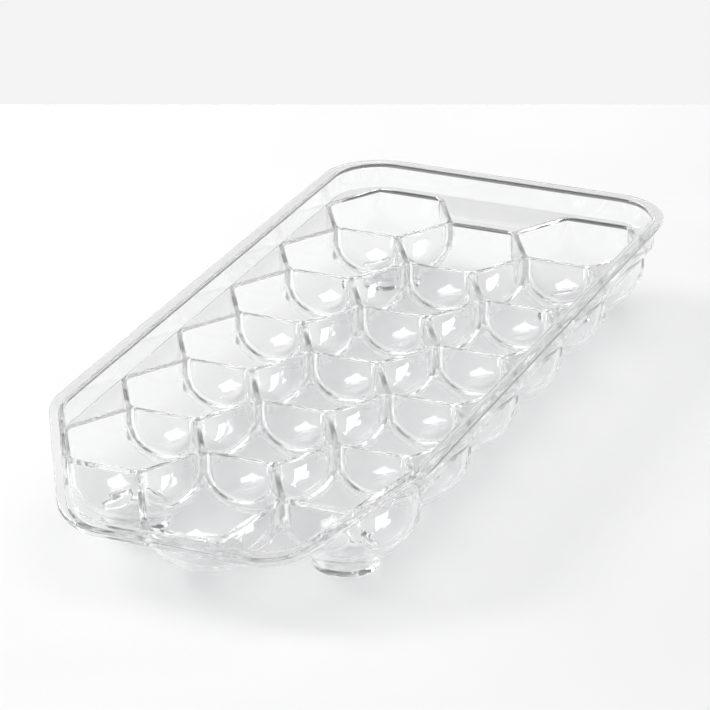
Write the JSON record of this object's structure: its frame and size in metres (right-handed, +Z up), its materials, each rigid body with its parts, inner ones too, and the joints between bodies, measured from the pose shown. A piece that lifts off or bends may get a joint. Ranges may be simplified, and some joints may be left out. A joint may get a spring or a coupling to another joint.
{
  "type": "egg holder tray",
  "caption": "Clear moulded egg tray with staggered round cups under a honeycomb deck, a narrowed nose whose rim slopes down, an overhanging rim and corner feet.",
  "frame": {"origin": "on the resting plane under the four feet, midway between the rim's two sides and between its front and back edges", "axes": "+Z up, +Y from the low narrowed nose to the square back, +X to the right seen from the nose"},
  "size_m": [0.154, 0.3428, 0.0455],
  "materials": {
    "clear_plastic": "clear, colourless, polished"
  },
  "bodies": {
    "root": {"cup_left_1": "clear_plastic", "cup_left_2": "clear_plastic", "cup_left_3": "clear_plastic", "cup_left_4": "clear_plastic", "cup_left_5": "clear_plastic", "cup_left_6": "clear_plastic", "cup_middle_1": "clear_plastic", "cup_middle_2": "clear_plastic", "cup_middle_3": "clear_plastic", "cup_middle_4": "clear_plastic", "cup_middle_5": "clear_plastic", "cup_middle_6": "clear_plastic", "cup_right_1": "clear_plastic", "cup_right_2": "clear_plastic", "cup_right_3": "clear_plastic", "cup_right_4": "clear_plastic", "cup_right_5": "clear_plastic", "cup_right_6": "clear_plastic", "foot_front_left": "clear_plastic", "foot_front_right": "clear_plastic", "foot_back_left": "clear_plastic", "foot_back_right": "clear_plastic", "side_webs_left": "clear_plastic", "side_webs_right": "clear_plastic", "back_deck": "clear_plastic", "front_apron": "clear_plastic", "side_wall_left": "clear_plastic", "side_wall_right": "clear_plastic", "back_wall": "clear_plastic", "nose_wall": "clear_plastic", "rim_left": "clear_plastic", "rim_right": "clear_plastic", "rim_back": "clear_plastic", "rim_nose": "clear_plastic"}
  },
  "joints": []
}
